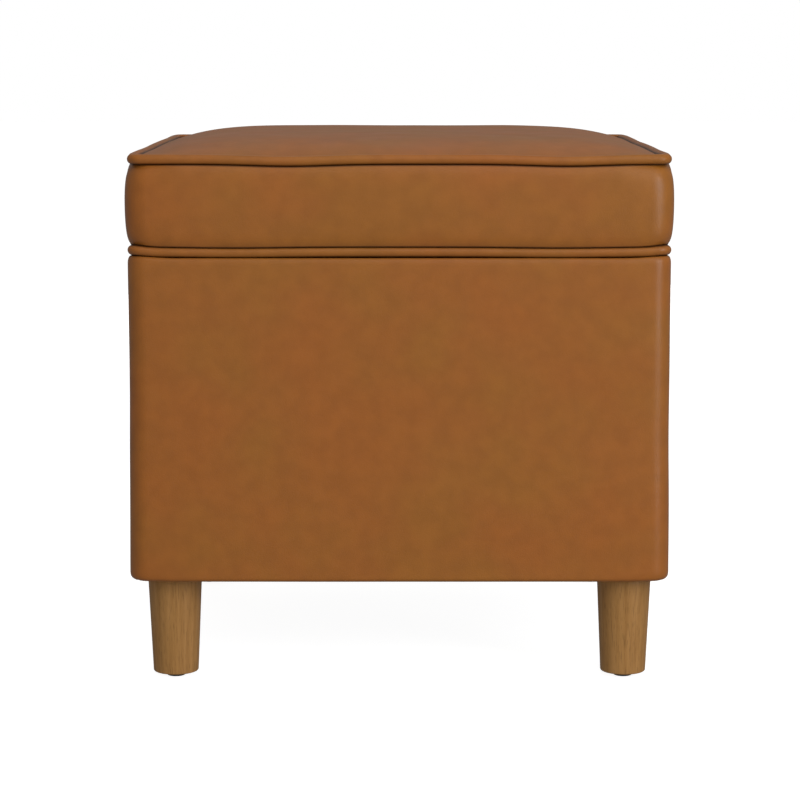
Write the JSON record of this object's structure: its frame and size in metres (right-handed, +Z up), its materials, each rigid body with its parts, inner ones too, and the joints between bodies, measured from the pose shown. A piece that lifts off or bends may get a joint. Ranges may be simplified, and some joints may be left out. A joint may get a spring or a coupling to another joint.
{
  "type": "storage ottoman",
  "caption": "Cube storage ottoman: faux-leather box with a crowned, welted, padded lid hinged at the rear with a folding stay, on round tapered wood legs.",
  "frame": {"origin": "on the floor under the middle of the box", "axes": "+Z up, -Y out of the front, +X to the right as seen from the front"},
  "size_m": [0.436, 0.4416, 0.4368],
  "materials": {
    "leather": "caramel brown faux leather, soft sheen, fine grain",
    "leg_wood": "honey oak stain, satin, vertical grain",
    "plywood": "raw plywood",
    "foam": "cream seat foam",
    "wadding": "white polyester wadding",
    "black_cloth": "black non-woven cloth",
    "steel": "zinc-plated steel",
    "glide": "dark brown plastic glide"
  },
  "bodies": {
    "box": {"front_board": "plywood", "rear_board": "plywood", "left_board": "plywood", "right_board": "plywood", "floor_board": "plywood", "front_pad": "wadding", "rear_pad": "wadding", "left_pad": "wadding", "right_pad": "wadding", "body_cover": "leather", "well_lining": "black_cloth", "dust_cover": "black_cloth", "corner_block_front_left": "plywood", "corner_block_front_right": "plywood", "corner_block_rear_left": "plywood", "corner_block_rear_right": "plywood", "tee_nut_front_left": "steel", "tee_nut_front_right": "steel", "tee_nut_rear_left": "steel", "tee_nut_rear_right": "steel", "leg_front_left": "leg_wood", "leg_front_right": "leg_wood", "leg_rear_left": "leg_wood", "leg_rear_right": "leg_wood", "leg_bolt_front_left": "steel", "leg_bolt_front_right": "steel", "leg_bolt_rear_left": "steel", "leg_bolt_rear_right": "steel", "glide_front_left": "glide", "glide_front_right": "glide", "glide_rear_left": "glide", "glide_rear_right": "glide", "hinge_box_leaf_left": "steel", "hinge_box_leaf_right": "steel", "hinge_pin_left": "steel", "hinge_pin_right": "steel", "box_screw_left_inner": "steel", "box_screw_left_outer": "steel", "box_screw_right_inner": "steel", "box_screw_right_outer": "steel", "stay_wall_bracket": "steel", "stay_wall_rivet": "steel"},
    "lid": {"lid_board": "plywood", "lid_underlining": "black_cloth", "lid_foam": "foam", "lid_top_cover": "leather", "lid_band": "leather", "lid_top_welt": "leather", "lid_bottom_welt": "leather", "hinge_lid_leaf_left": "steel", "hinge_lid_leaf_right": "steel", "lid_screw_left_inner": "steel", "lid_screw_left_outer": "steel", "lid_screw_right_inner": "steel", "lid_screw_right_outer": "steel", "stay_lid_bracket": "steel", "stay_lid_rivet": "steel"},
    "stay_lower": {"stay_lower_arm": "steel", "stay_knee_rivet": "steel"},
    "stay_upper": {"stay_upper_arm": "steel"}
  },
  "joints": [
    {"name": "lid_hinge", "type": "hinge", "parent": "box", "child": "lid", "pos_m": [0, 0.2204, 0.3416], "axis": [-1, 0, 0], "range_deg": [0, 95]},
    {"name": "stay_lower_pivot", "type": "hinge", "parent": "box", "child": "stay_lower", "pos_m": [0.1946, 0.181, 0.262], "axis": [-1, 0, 0], "range_deg": [0, 95]},
    {"name": "stay_upper_pivot", "type": "hinge", "parent": "lid", "child": "stay_upper", "pos_m": [0.1923, 0.1204, 0.3346], "axis": [-1, 0, 0], "range_deg": [-95, 0]}
  ],
  "couplings": [
    {"joint": "stay_lower_pivot", "follows": "lid_hinge", "ratio": 1},
    {"joint": "stay_upper_pivot", "follows": "lid_hinge", "ratio": -1}
  ]
}
